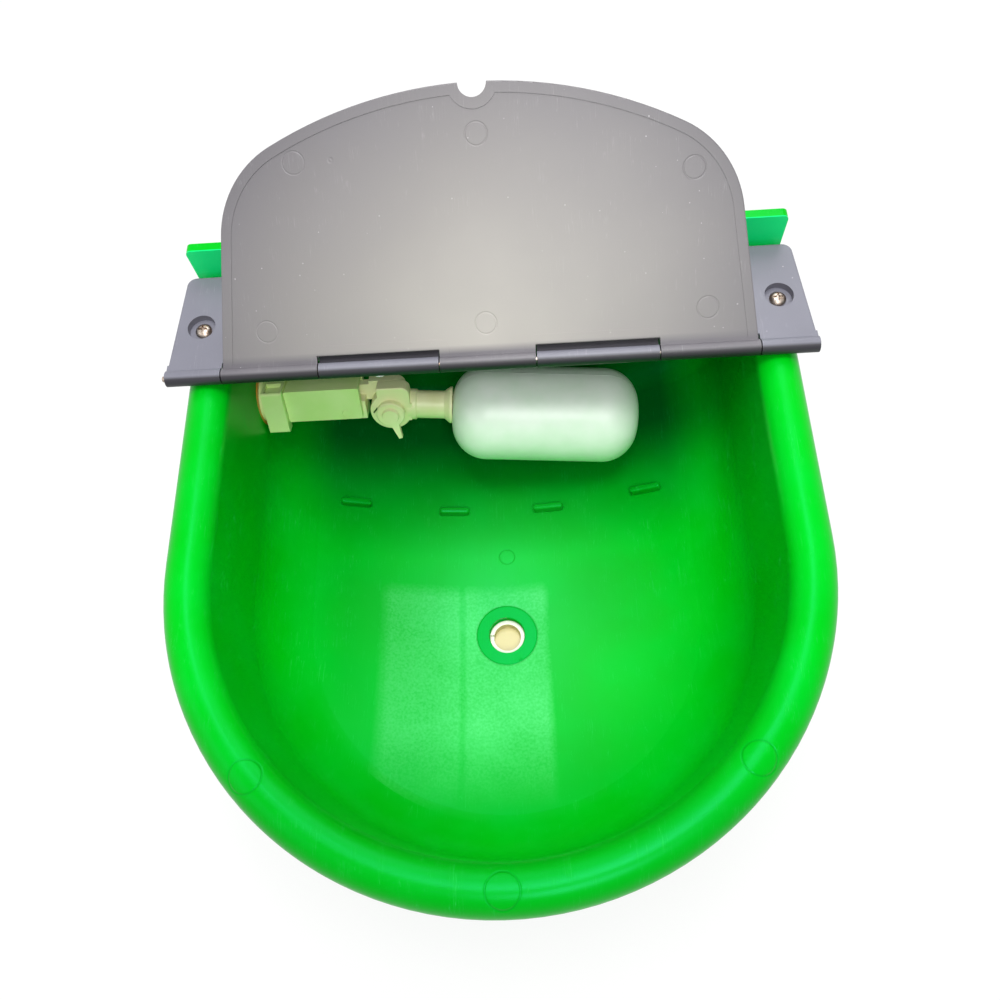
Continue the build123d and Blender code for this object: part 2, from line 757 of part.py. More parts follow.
with BuildPart() as lever_pin:
    with BuildSketch(valve_plane(-body_half - pin_proud)):
        with Locations((pivot_u, -pivot_low)):
            Circle(lever_pin_r)
    extrude(amount=2 * (body_half + pin_proud))
    chamfer(lever_pin.edges(), 0.3)

# Arm knuckle: a round ear clamped against the lever, and the socket for the float's stem
with BuildPart() as arm_knuckle:
    with BuildSketch(valve_plane(knuckle_back)) as block:
        with Locations((hub_u - block_left, hub_w)):
            Rectangle(block_left + block_right, block_top - hub_w, align=Align.MIN)
        fillet(block.vertices().sort_by(Axis.Y)[-2:].sort_by(Axis.X)[-1], block_round)
        with Locations((hub_u, hub_w)):
            Circle(hub_r)
    extrude(amount=knuckle_t)
    with BuildSketch(arm_plane(knuckle_back)):
        with Locations((0, -neck_high / 2)):
            Rectangle(socket_in + socket_len / 2, neck_high, align=Align.MIN)
    extrude(amount=knuckle_t)
    fillet(arm_knuckle.edges().filter_by(GeomType.CIRCLE), 0.8)
    with BuildSketch(arm_cross(socket_in)):
        Circle(socket_r)
    extrude(amount=socket_len)
    chamfer(arm_knuckle.faces().sort_by(Axis(arm_cross(0).origin, arm_cross(0).z_dir))[-1].edges(), 0.6)
    with BuildSketch(arm_cross(socket_in + 1.2)):
        Circle(stem_r - stem_step + pin_fit)
    extrude(amount=socket_len, mode=Mode.SUBTRACT)
    with BuildSketch(valve_plane(knuckle_back)):
        with Locations((hub_u, hub_w)):
            Circle(clamp_r + clamp_fit)
    extrude(amount=knuckle_t, mode=Mode.SUBTRACT)

# Stem between the knuckle's socket and the float's neck
with BuildPart() as float_stem:
    with BuildSketch(arm_plane(0)):
        with BuildLine():
            Polyline(
                (socket_in + 1.5, 0),
                (socket_in + 1.5, stem_r - stem_step),
                (stem_s, stem_r - stem_step),
                (stem_s, stem_r),
                (stem_s + stem_len, stem_r),
                (float_s - 1.4, stem_flare),
                (float_s, stem_flare),
                (float_s, float_neck_r - pin_fit),
                (float_s + spigot_len, float_neck_r - pin_fit),
                (float_s + spigot_len, 0),
                close=True,
            )
        make_face()
    revolve(axis=arm_axis(0))

# Float: a hollow blow-moulded bottle whose neck sits above its middle line
with BuildPart() as float_bottle:
    with BuildSketch(arm_plane(0)):
        add(bottle_half(0))
    revolve(axis=arm_axis(-float_low))
    with BuildSketch(arm_plane(0)):
        add(bottle_half(float_wall))
    revolve(axis=arm_axis(-float_low), mode=Mode.SUBTRACT)
    with BuildSketch(arm_cross(float_s - 1)):
        Circle(float_neck_r)
    extrude(amount=4 * float_wall, mode=Mode.SUBTRACT)

# Clamp screw with a round head and one tail to turn it by, and its nut behind the lever
with BuildPart() as clamp_screw:
    with BuildSketch(valve_plane(clamp_seat)):
        with Locations((hub_u, hub_w)):
            Circle(clamp_head_r)
    extrude(amount=clamp_head_t)
    chamfer(clamp_screw.faces().sort_by(Axis(valve_plane(0).origin, valve_plane(0).z_dir))[-1].edges(), 0.7)
    with BuildSketch(valve_plane(clamp_seat + clamp_head_t)):
        with Locations((hub_u, hub_w)):
            Circle(clamp_cap_r)
    extrude(amount=clamp_cap_t, taper=20)
    with BuildSketch(valve_plane(clamp_seat + tail_rise)):
        with Locations(Location((hub_u, hub_w), tail_angle)):
            Polygon((0, tail_w / 2), (0, -tail_w / 2), (tail_len, -tail_tip / 2), (tail_len, tail_tip / 2), align=None)
    extrude(amount=tail_t)
    with BuildSketch(valve_plane(clamp_seat)):
        with Locations((hub_u, hub_w)):
            Circle(clamp_r)
    extrude(amount=-clamp_seat - lever_back - clamp_nut_t - 1)

with BuildPart() as clamp_nut:
    with BuildSketch(valve_plane(-lever_back)):
        with Locations((hub_u, hub_w)):
            RegularPolygon(clamp_nut_flats / 2, 6, major_radius=False)
            Circle(clamp_r + pin_fit, mode=Mode.SUBTRACT)
    extrude(amount=-clamp_nut_t)

# Drain plug: a hollow screw plug with a grip head, and its gasket
with BuildPart() as drain_gasket:
    with BuildSketch(Plane.XY.offset(boss_low)):
        with Locations((0, drain_y)):
            Circle(drain_boss_r)
            Circle(drain_r, mode=Mode.SUBTRACT)
    extrude(amount=-gasket_t)

with BuildPart() as drain_plug:
    with BuildSketch(Plane.XY.offset(boss_low - gasket_t)):
        with Locations((0, drain_y)):
            Circle(plug_head_r)
            with PolarLocations(plug_head_r + 1.2, 10):
                Circle(2.6, mode=Mode.SUBTRACT)
    extrude(amount=-plug_head_h)
    with BuildSketch(Plane.XY.offset(boss_low - gasket_t)):
        with Locations((0, drain_y)):
            Circle(drain_r - plug_fit)
    extrude(amount=floor_z - plug_deep - boss_low + gasket_t)
    with BuildSketch(Plane.XY.offset(floor_z - plug_deep)):
        with Locations((0, drain_y)):
            Circle(drain_r - plug_fit - plug_wall)
    extrude(amount=-plug_cup, mode=Mode.SUBTRACT)
    with BuildSketch(Plane.XY.offset(floor_z - plug_deep)):
        with Locations((0, drain_y)):
            Rectangle(2 * drain_r, plug_notch, align=(Align.MAX, Align.CENTER))
    extrude(amount=-plug_cup / 2, mode=Mode.SUBTRACT)

valve_body.part.label = "valve_body"
export_step(valve_body.part, "parts/valve_body.step")
retaining_clip.part.label = "retaining_clip"
export_step(retaining_clip.part, "parts/retaining_clip.step")
inlet_gasket.part.label = "inlet_gasket"
export_step(inlet_gasket.part, "parts/inlet_gasket.step")
inlet_washer.part.label = "inlet_washer"
export_step(inlet_washer.part, "parts/inlet_washer.step")
inlet_locknut.part.label = "inlet_locknut"
export_step(inlet_locknut.part, "parts/inlet_locknut.step")
nozzle.part.label = "nozzle"
export_step(nozzle.part, "parts/nozzle.step")
plunger.part.label = "plunger"
export_step(plunger.part, "parts/plunger.step")
plunger_seal.part.label = "plunger_seal"
export_step(plunger_seal.part, "parts/plunger_seal.step")
lever.part.label = "lever"
export_step(lever.part, "parts/lever.step")
lever_pin.part.label = "lever_pin"
export_step(lever_pin.part, "parts/lever_pin.step")
arm_knuckle.part.label = "arm_knuckle"
export_step(arm_knuckle.part, "parts/arm_knuckle.step")
float_stem.part.label = "float_stem"
export_step(float_stem.part, "parts/float_stem.step")
float_bottle.part.label = "float_bottle"
export_step(float_bottle.part, "parts/float_bottle.step")
clamp_screw.part.label = "clamp_screw"
export_step(clamp_screw.part, "parts/clamp_screw.step")
clamp_nut.part.label = "clamp_nut"
export_step(clamp_nut.part, "parts/clamp_nut.step")
drain_plug.part.label = "drain_plug"
export_step(drain_plug.part, "parts/drain_plug.step")
drain_gasket.part.label = "drain_gasket"
export_step(drain_gasket.part, "parts/drain_gasket.step")
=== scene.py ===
# %% [markdown]
# # A livestock drinking bowl with a float valve
# The bowl hangs on a wall or a post. Water comes in through the left side, and a float under
# the dark cover shuts the valve when the bowl is full. The animal pushes its muzzle into the
# round front. The solids come ready made, in metres and in their right places, so this lesson
# is about what they lack: plastic that looks moulded, threads, rounded stops, marks and light.

# %% Load the solids and clear the selection
import math

import bpy
from mathutils import Matrix, Vector


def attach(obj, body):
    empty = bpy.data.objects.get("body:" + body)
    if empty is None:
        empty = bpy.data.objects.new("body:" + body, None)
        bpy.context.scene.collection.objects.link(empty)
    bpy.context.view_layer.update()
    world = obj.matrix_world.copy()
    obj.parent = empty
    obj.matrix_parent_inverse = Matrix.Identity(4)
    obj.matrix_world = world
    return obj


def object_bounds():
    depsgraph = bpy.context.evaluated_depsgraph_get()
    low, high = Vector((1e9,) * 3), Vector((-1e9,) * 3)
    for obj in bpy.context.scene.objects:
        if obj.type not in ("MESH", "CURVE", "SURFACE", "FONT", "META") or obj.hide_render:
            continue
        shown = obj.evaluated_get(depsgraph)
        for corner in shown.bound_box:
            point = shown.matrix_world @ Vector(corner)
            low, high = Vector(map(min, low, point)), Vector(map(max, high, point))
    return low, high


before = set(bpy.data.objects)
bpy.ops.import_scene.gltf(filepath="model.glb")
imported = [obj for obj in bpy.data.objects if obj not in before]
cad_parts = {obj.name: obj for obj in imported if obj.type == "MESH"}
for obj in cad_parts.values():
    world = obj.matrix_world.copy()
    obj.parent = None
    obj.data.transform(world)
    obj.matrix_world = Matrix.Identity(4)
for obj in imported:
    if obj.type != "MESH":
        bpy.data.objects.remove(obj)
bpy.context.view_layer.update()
bpy.ops.object.select_all(action="DESELECT")
print("pieces:", len(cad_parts))

# %% [markdown]
# ## Shader sums in plain Python
# A moulded surface is mostly distances: how far a point is from a pin mark, from an edge or
# from a scratch. Node by node that is slow to write and hard to read. So a small class wraps
# a socket, and each plus, minus or times between two of them adds one Math node.

# %% A socket that can be added, multiplied and compared
class Value:
    def __init__(self, finish, socket):
        self.finish = finish
        self.socket = socket

    def sum(self, operation, *others):
        inputs = dict(enumerate((self, *others)))
        return self.finish.add("ShaderNodeMath", {"operation": operation}, inputs)

    def __add__(self, other):
        return self.sum("ADD", other)

    __radd__ = __add__

    def __mul__(self, other):
        return self.sum("MULTIPLY", other)

    __rmul__ = __mul__

    def __sub__(self, other):
        return self.sum("SUBTRACT", other)

    def __rsub__(self, other):
        return self.finish.add("ShaderNodeMath", {"operation": "SUBTRACT"}, {0: other, 1: self})

    def __pow__(self, other):
        return self.sum("POWER", other)

    def __lt__(self, other):
        return self.sum("LESS_THAN", other)

    def __gt__(self, other):
        return self.sum("GREATER_THAN", other)

    def __abs__(self):
        return self.sum("ABSOLUTE")

    def at_least(self, other):
        return self.sum("MAXIMUM", other)


# %% A material that hands out sockets
class Finish:
    def __init__(self, name, world=None):
        self.material = world or bpy.data.materials.new(name)
        self.material.use_nodes = True
        self.tree = self.material.node_tree
        self.shader = self.tree.nodes.get("Principled BSDF")
        self.point = self.add("ShaderNodeTexCoord", output="Object")
        axes = (self.add("ShaderNodeSeparateXYZ", {}, {0: self.point}, axis) for axis in "XYZ")
        self.x, self.y, self.z = axes

    def feed(self, socket, value):
        if isinstance(value, Value):
            self.tree.links.new(value.socket, socket)
        else:
            socket.default_value = value

    def add(self, kind, settings=None, inputs=None, output=0):
        node = self.tree.nodes.new(kind)
        for key, value in (settings or {}).items():
            setattr(node, key, value)
        for key, value in (inputs or {}).items():
            self.feed(node.inputs[key], value)
        return Value(self, node.outputs[output])

    def noise(self, scale, detail=3.0, stretch=(1, 1, 1), turn=(0, 0, 0)):
        inputs = {"Vector": self.point, "Scale": stretch, "Rotation": turn}
        place = self.add("ShaderNodeMapping", {}, inputs)
        inputs = {"Vector": place, "Scale": scale, "Detail": detail}
        return self.add("ShaderNodeTexNoise", {}, inputs, "Fac")

    def ramp(self, value, low, high):
        """0 up to the low value, 1 from the high one, and a straight rise between them."""
        inputs = {"Value": value, "From Min": low, "From Max": high}
        return self.add("ShaderNodeMapRange", {"clamp": True}, inputs)

    def mix(self, amount, first, second):
        inputs = {"Factor": amount, 6: first, 7: second}
        return self.add("ShaderNodeMix", {"data_type": "RGBA"}, inputs, 2)

    def set(self, **sockets):
        for name, value in sockets.items():
            self.feed(self.shader.inputs[name.replace("_", " ")], value)

    def relief(self, height, depth):
        inputs = {"Height": height, "Distance": depth, "Strength": 1.0}
        self.set(Normal=self.add("ShaderNodeBump", {}, inputs))


def any_of(first, *masks):
    """The highest of several masks."""
    for mask in masks:
        first = first.at_least(mask)
    return first


def shown(finish):
    """1 for the camera's own rays and those that gloss and glass send on, 0 for light."""
    kinds = ("Camera", "Glossy", "Transmission")
    rays = [finish.add("ShaderNodeLightPath", output=f"Is {kind} Ray") for kind in kinds]
    return any_of(*rays)


def colour(red, green, blue):
    """A shader colour from the 0 to 255 values that a screen shows."""
    def linear(value):
        value = value / 255
        return value / 12.92 if value <= 0.04045 else ((value + 0.055) / 1.055) ** 2.4
    return (linear(red), linear(green), linear(blue), 1.0)


def dress(finish, *nodes):
    for name in nodes:
        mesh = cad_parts[name].data
        mesh.materials.clear()
        mesh.materials.append(finish.material)
    print(finish.material.name, "on", ", ".join(nodes))


# %% [markdown]
# ## Marks made by distance
# The mould leaves round pin marks, and handling leaves hair-thin scratches. A circle is where
# the distance to a centre equals a radius, a line is where the distance to it is small, and a
# scratch is a narrow band of a stretched noise. Each helper gives 1 on its mark, 0 elsewhere.

# %% Circles, lines and scratches
def pin_mark(finish, u, v, centre, radius, line):
    """1 on a thin circle round a centre."""
    across = ((u - centre[0]) * (u - centre[0]) + (v - centre[1]) * (v - centre[1])) ** 0.5
    return 1 - finish.ramp(abs(across - radius), line * 0.3, line)


def scratches(finish, scale, turn, width):
    """1 on thin broken lines along one direction."""
    lines = finish.noise(scale, 2.0, (1, 0.03, 0.03), turn)
    breaks = finish.noise(scale * 0.12, 2.0, (1, 1, 1), (0.4, 0.9, 1.7))
    return (1 - finish.ramp(abs(lines - 0.5), 0, width)) * finish.ramp(breaks, 0.52, 0.62)


def line_mark(finish, u, v, first, last, width):
    """1 on a thin straight line between two points."""
    long_u, long_v = last[0] - first[0], last[1] - first[1]
    length = math.hypot(long_u, long_v)
    long_u, long_v = long_u / length, long_v / length
    along = (u - first[0]) * long_u + (v - first[1]) * long_v
    across = abs((u - first[0]) * long_v - (v - first[1]) * long_u)
    inside = (along > 0) * (along < length)
    return (1 - finish.ramp(across, width * 0.3, width)) * inside


# %% [markdown]
# ## Green bowl
# The bowl is one injection moulding in a loud green. Such plastic is smooth but not perfect:
# the surface swims a little, round pin marks show on the lip and the floor, and a flat ring is
# cut round the drain. The floor has a painted sheen with some wear in the middle, and painted
# shade under the cover. All of this lies on the inside only, so a mask first tells inside from
# outside. More painted shade darkens the left of the floor and the front lip, and painted light
# brightens the flange's front face.

# %% Where the inside of the bowl is
wall_half, wall_lean, wall_top = 0.134, 0.0612, 0.03675
round_x, round_z, round_r = 0.0902, -0.01615, 0.0407
flat_half, floor_deep, floor_bend = 0.1074, 0.0775, 1.98
back_wall_y = -0.0046


def inside_bowl(finish):
    """1 on the inside of the bowl behind its front, 0 on its outside."""
    across = abs(finish.x)
    side = across < wall_half + (finish.z - wall_top) * wall_lean
    out, down = (across - round_x).at_least(0), (round_z - finish.z).at_least(0)
    in_round = (out * out + down * down) ** 0.5 < round_r
    corner = any_of(in_round, finish.z > round_z, across < flat_half)
    floor = finish.z > finish.x * finish.x * floor_bend - floor_deep
    return side * corner * floor * (finish.y < back_wall_y)


# %% Pin marks, the drain's ring and a dent
green = Finish("green_plastic")
swim = green.noise(9, 2.0)
cloud = green.noise(34, 4.0)
hair = any_of(scratches(green, 900, (0, 0, 0.5), 0.008), scratches(green, 700, (0, 0, 2.2), 0.008))
drain_y, ring_r = -0.172, 0.0174
on_lip, on_floor, on_ring = green.z > 0.04, green.z < -0.07, green.z < -0.074
from_drain = (green.x * green.x + (green.y - drain_y) * (green.y - drain_y)) ** 0.5


def bowl_mark(centre, radius, line=0.0006):
    return pin_mark(green, green.x, green.y, centre, radius, line)


lip_pins = ((0.0, -0.3095), (-0.106, -0.263), (0.106, -0.263))
lip_marks = any_of(*(bowl_mark(centre, 0.0071) for centre in lip_pins)) * on_lip
floor_mark = bowl_mark((0.0014, -0.1236), 0.0045, 0.0005) * on_floor
gate_mark = bowl_mark((0.0075, -0.1869), 0.0006, 0.0007) * on_floor
groove = bowl_mark((0.0, drain_y), ring_r) * on_ring
dent = line_mark(green, green.y, green.z, (-0.0544, 0.0199), (-0.0643, -0.0173), 0.0006)
marks = any_of(lip_marks, floor_mark, gate_mark, groove, dent * (green.x > 0.12))
print("lip marks:", len(lip_pins), "ring radius in mm:", ring_r * 1000)

# %% Painted sheen with some wear, and painted shade, on the inside
inside = inside_bowl(green)
behind, left = 0 - green.y, 0 - green.x
# Painted sheen with some wear: straight-edged pale patches on the floor, a painted reflection.
sheen_patch = green.ramp(green.x, -0.074, -0.066) * (1 - green.ramp(green.x, 0.021, 0.027))
sheen_patch = sheen_patch * green.ramp(behind, 0.138, 0.148) * (1 - green.ramp(behind, 0.225, 0.27))
sheen_patch = sheen_patch * (0.6 + green.ramp(abs(green.x + 0.0255), 0.0008, 0.0026) * 0.4)
stipple = green.ramp(green.noise(700, 3.0), 0.35, 0.65) * 0.4
sheen_patch = sheen_patch * (0.45 + stipple + green.ramp(cloud, 0.35, 0.7) * 0.3)
# The glow here is a painted sheen round the drain, not a lamp.
glow = (1 - green.ramp(from_drain + cloud * 0.03, 0.02, 0.12)) * 0.3
wear_and_sheen = inside * (green.z < -0.05) * any_of(sheen_patch, glow) * (from_drain > ring_r)
# Painted shade on the left of the floor, under the cover and on the front lip.
painted_shade_left = inside * green.ramp(left, 0.02, 0.09) * (1 - green.ramp(green.z, -0.06, -0.02))
cover_shadow_ramp = green.ramp(green.y, -0.125, -0.045)
painted_shade_under_cover = inside * cover_shadow_ramp * (0.85 - green.ramp(abs(green.x), 0.1, 0.12) * 0.5)
painted_shade_front_lip = green.ramp(green.z, 0.03, 0.042) * green.ramp(behind, 0.22, 0.285)
# Painted light on the flange's front face.
painted_light_flange = (green.y < -0.0045) * (green.y > -0.0053) * green.ramp(green.z, 0.044, 0.054)

# %% The green itself, one layer over the other
shade = green.mix(green.ramp(swim, 0.35, 0.65), colour(0, 174, 12), colour(0, 188, 20))
layers = (
    (green.ramp(cloud, 0.4, 0.75) * 0.3, colour(0, 196, 52)),
    # The ring round the drain is painted darker: painted shade where the floor's sheen is missing.
    ((from_drain < ring_r) * on_ring * 0.5, colour(0, 158, 44)),
    (wear_and_sheen * 0.6, colour(98, 220, 130)),
    (painted_shade_left * 0.55, colour(0, 140, 6)),
    (painted_shade_front_lip * 0.6, colour(0, 138, 8)),
    (painted_shade_under_cover, colour(0, 74, 30)),
    (painted_light_flange * 0.9, colour(24, 250, 140)),
    (hair * 0.2, colour(70, 225, 120)),
    (marks * 0.3, colour(0, 120, 24)),
)
for amount, tint in layers:
    shade = green.mix(amount, shade, tint)
green.set(Base_Color=shade, Roughness=0.26 + cloud * 0.12 + hair * 0.2, IOR=1.45)
green.set(Specular_Tint=(0.1, 1.0, 0.75, 1.0), Specular_IOR_Level=0.24)
green.relief(swim * 0.4 + cloud * 0.04 - marks * 0.16 - hair * 0.02, 0.0008)
dress(green, "bowl")

# %% [markdown]
# ## Dark cover and flap
# Both are a dark, slightly purple plastic. The flap is a wide flat sheet that catches the
# lamp, and its middle is painted paler and cloudy, partly rubbing and partly painted reflection,
# so it looks much paler than the cover beside it. Small pale specks sit in the surface. On one
# half of the hinge barrels and in the slots behind the fixed ones, painted shade makes it nearly
# black.

# %% Satin dark plastic
def dark_plastic(name, low, high):
    finish = Finish(name)
    swim = finish.noise(14, 3.0)
    grain = finish.noise(420, 4.0)
    cells = {"Vector": finish.point, "Scale": 130.0}
    specks = finish.add("ShaderNodeTexVoronoi", {}, cells, "Distance") < 0.045
    hair = scratches(finish, 800, (0, 0, 1.1), 0.01)
    shade = finish.mix(finish.ramp(swim, 0.3, 0.7), low, high)
    shade = finish.mix(specks * 0.6 + hair * 0.2, shade, colour(190, 186, 190))
    finish.set(Roughness=0.36 + swim * 0.12 + grain * 0.05, IOR=1.5)
    return finish, swim, grain, shade


# %% Painted shade on one side of the barrels
hinge_y, hinge_z, lean = -0.0693, 0.0519, math.radians(39.9)
painted_shade_dark = colour(15, 9, 21)


def from_hinge(finish):
    """A point's distance from the hinge line along the flap."""
    return (finish.y - hinge_y) * math.cos(lean) + (finish.z - hinge_z) * math.sin(lean)


def painted_barrel_shade(finish):
    """1 on the half of the hinge barrels that gets painted shade, 0 elsewhere."""
    back, rise = finish.y - hinge_y, finish.z - hinge_z
    near = (back * back + rise * rise) ** 0.5 < 0.0045
    return near * (1 - finish.ramp(from_hinge(finish), 0.0002, 0.0016)) * 0.92


# %% Flap
flap_low, flap_high = colour(88, 85, 91), colour(106, 103, 108)
flap, swim, grain, shade = dark_plastic("flap_plastic", flap_low, flap_high)
out = from_hinge(flap)
flap_pins = ((0.0007, 0.1055), (-0.1078, 0.0206), (0.1078, 0.0206), (0.0001, 0.019),
             (0.1014, 0.0848), (-0.0858, 0.0977))
pins = any_of(*(pin_mark(flap, flap.x, out, centre, 0.0052, 0.0005) for centre in flap_pins))
flap_marks = any_of(pins, pin_mark(flap, flap.x, out, (-0.0682, 0.0979), 0.0008, 0.0008))
from_middle = (flap.x * flap.x * 0.7 + (out - 0.01) * (out - 0.01)) ** 0.5
# Paler, cloudy middle: partly rubbing, partly a painted reflection of the lamp.
rub_and_sheen = (1 - flap.ramp(from_middle + swim * 0.04, 0.02, 0.15)) * flap.ramp(out, 0.005, 0.009)
shade = flap.mix(rub_and_sheen, shade, colour(172, 167, 161))
flap.set(Base_Color=flap.mix(painted_barrel_shade(flap), shade, painted_shade_dark))
flap.relief(swim * 0.3 + grain * 0.02 - flap_marks * 0.16, 0.0006)
dress(flap, "flap")

# %% Cover plate
cover_low, cover_high = colour(104, 104, 115), colour(120, 120, 131)
cover, swim, grain, shade = dark_plastic("cover_plastic", cover_low, cover_high)
knuckle_near, knuckle_far = 0.0238, 0.0846
beside = (abs(cover.x) > knuckle_near) * (abs(cover.x) < knuckle_far)
# Painted shadow on the cover in the slots behind the fixed knuckles.
painted_slot_shade = beside * (cover.y > hinge_y + 0.0026) * (cover.y < hinge_y + 0.0105) * 0.92
cover.set(Base_Color=cover.mix(any_of(painted_barrel_shade(cover), painted_slot_shade), shade, painted_shade_dark))
cover.relief(swim * 0.3 + grain * 0.03, 0.0006)
dress(cover, "cover_plate")

# %% [markdown]
# ## Cream valve plastic
# The valve is natural plastic, the colour of thin cream, and it picks up green from the bowl
# around it; on the housing that green is painted into a greener cream as painted reflected light.
# It is a little see-through at thin edges, which a touch of subsurface would give,
# but a warm base colour with soft mottling looks the same from here and renders faster.

# %% Cream, amber and white plastics
def natural_plastic(name, low, high, rough):
    finish = Finish(name)
    swim = finish.noise(60, 3.0)
    grain = finish.noise(600, 3.0)
    shade = finish.mix(finish.ramp(swim, 0.35, 0.65), low, high)
    finish.set(Base_Color=shade, Roughness=rough + swim * 0.1, IOR=1.48)
    finish.relief(swim * 0.3 + grain * 0.05, 0.0004)
    return finish


cream_low, cream_high = colour(240, 240, 182), colour(249, 249, 200)
cream = natural_plastic("valve_cream", cream_low, cream_high, 0.32)
dress(cream, "lever", "float_stem", "clamp_screw", "plunger", "inlet_locknut")
# The housing's greener cream is painted green light reflected from the bowl.
housing_green_bounce = natural_plastic("housing_cream", colour(222, 246, 164), colour(232, 250, 180), 0.32)
dress(housing_green_bounce, "valve_body", "retaining_clip", "lever_pin")
amber = natural_plastic("amber_rubber", colour(208, 140, 40), colour(226, 166, 66), 0.4)
dress(amber, "inlet_gasket")
black = natural_plastic("black_rubber", colour(26, 25, 25), colour(38, 37, 36), 0.55)
dress(black, "inlet_washer", "plunger_seal", "drain_gasket")

# %% Drain plug, darker and yellower inside its cup
plug_low, plug_high = colour(236, 238, 222), colour(243, 244, 230)
drain = natural_plastic("drain_cream", plug_low, plug_high, 0.3)
cup_r, cup_floor = 0.0079, -0.088
from_axis = (drain.x * drain.x + (drain.y - drain_y) * (drain.y - drain_y)) ** 0.5
cup = (from_axis < cup_r) * (drain.z > cup_floor)
plain = drain.mix(drain.noise(60, 3.0), plug_low, plug_high)
drain.set(Base_Color=drain.mix(cup, plain, colour(206, 196, 138)))
dress(drain, "drain_plug")

# %% [markdown]
# ### Marks that belong to one piece
# The knuckle has a short moulded slot beside the clamp screw, where a pointer would sit, and
# its dark inside is painted shade. The float is blown in two mould halves, so a thin seam runs
# along its whole length. Both are
# placed in the valve's own two directions: up the valve, and out of it towards the viewer.

# %% A slot in the knuckle and a seam on the float
turn = math.radians(25.0)
inlet = Vector((-0.13260, -0.046, -0.008))


def valve_directions(finish):
    """A point's distance along the valve, up it and out of it, as three sockets."""
    y, z = finish.y - inlet.y, finish.z - inlet.z
    rise = y * math.sin(turn) + z * math.cos(turn)
    return finish.x, rise, z * math.sin(turn) - y * math.cos(turn)


knuckle = natural_plastic("knuckle_cream", cream_low, cream_high, 0.32)
along, rise, out = valve_directions(knuckle)
# The slot's dark colour is painted shade; its depth is a bump.
painted_slot_shade = line_mark(knuckle, along, rise, (-0.0665, -0.0052), (-0.0692, -0.0086), 0.0006)
painted_slot_shade = painted_slot_shade * (out > 0.007)
swim = knuckle.noise(60, 3.0)
plain = knuckle.mix(swim, cream_low, cream_high)
knuckle.set(Base_Color=knuckle.mix(painted_slot_shade, plain, colour(60, 84, 30)))
knuckle.relief(swim * 0.3 - painted_slot_shade * 2, 0.0004)
dress(knuckle, "arm_knuckle")

white = natural_plastic("float_white", colour(230, 246, 230), colour(240, 250, 240), 0.3)
seam = 1 - white.ramp(abs(valve_directions(white)[2]), 0.0001, 0.0005)
white.relief(white.noise(60, 3.0) * 0.3 + seam * 0.5, 0.0004)
dress(white, "float_bottle")

# %% [markdown]
# ## Metal
# The screws and the hinge pin are plain steel, a little brown from the damp, and the nozzle
# inside the valve is turned brass, with fine rings round its axis.

# %% Steel and brass
def worn_metal(name, low, high, rough):
    finish = Finish(name)
    stain = finish.noise(380, 4.0)
    lines = finish.noise(2400, 2.0, (1, 0.1, 0.1))
    shade = finish.mix(finish.ramp(stain, 0.4, 0.7), low, high)
    finish.set(Base_Color=shade, Metallic=1.0, Roughness=rough + stain * 0.2)
    finish.relief(lines, 0.00008)
    return finish


steel = worn_metal("screw_steel", colour(178, 168, 158), colour(140, 116, 98), 0.25)
dress(steel, "cover_screws", "hinge_pin", "clamp_nut")
brass = worn_metal("nozzle_brass", colour(206, 168, 96), colour(176, 132, 66), 0.22)
dress(brass, "nozzle")

# %% [markdown]
# ## Threads
# The solids have plain shanks. A thread is a small triangle carried round and along an axis,
# which is what the Screw modifier does. It is made about X at the origin first, because the
# modifier turns about the object's own origin, and is then turned and moved as finished mesh.

# %% One ridge that winds about X, then its place on the object
def thread(name, radius, height, width, pitch, turns, inward=False):
    bpy.ops.object.select_all(action="DESELECT")
    bpy.ops.mesh.primitive_circle_add(vertices=3, radius=height / 1.5, location=(0, 0, 0))
    ridge = bpy.context.object
    ridge.name = name
    bpy.ops.object.mode_set(mode="EDIT")
    bpy.ops.mesh.select_all(action="SELECT")
    side = -1 if inward else 1
    triangle_tall = 0.866
    widen = width / height * triangle_tall
    bpy.ops.transform.resize(value=(widen, side, 1), center_override=(0, 0, 0))
    bpy.ops.transform.translate(value=(0, radius + side * height / 3, 0))
    bpy.ops.object.mode_set(mode="OBJECT")
    bpy.ops.object.modifier_add(type="SCREW")
    winding = ridge.modifiers[-1]
    winding.axis = "X"
    winding.screw_offset = pitch
    winding.iterations = turns
    winding.steps = winding.render_steps = 48
    bpy.ops.object.modifier_apply(modifier=winding.name)
    bpy.ops.object.mode_set(mode="EDIT")
    bpy.ops.mesh.select_all(action="DESELECT")
    bpy.ops.mesh.select_non_manifold()
    bpy.ops.mesh.fill()
    bpy.ops.mesh.select_all(action="SELECT")
    bpy.ops.mesh.normals_make_consistent(inside=False)
    bpy.ops.object.mode_set(mode="OBJECT")
    return ridge


def settle(piece, place, rise, body, finish):
    """Lifts a finished piece's +X end by an angle, moves it to its place and fixes it to a body."""
    bpy.ops.object.mode_set(mode="EDIT")
    bpy.ops.mesh.select_all(action="SELECT")
    if rise:
        angle = math.radians(rise)
        bpy.ops.transform.rotate(value=angle, orient_axis="Y", center_override=(0, 0, 0))
    bpy.ops.transform.translate(value=place)
    bpy.ops.object.mode_set(mode="OBJECT")
    piece.data.materials.append(finish.material)
    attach(piece, body)
    low, high = piece_box(piece)
    print(piece.name, "from", [round(c, 4) for c in low], "to", [round(c, 4) for c in high])


def piece_box(piece):
    """The lowest and the highest corner of a piece."""
    axes = list(zip(*(piece.matrix_world @ Vector(corner) for corner in piece.bound_box)))
    return [min(axis) for axis in axes], [max(axis) for axis in axes]


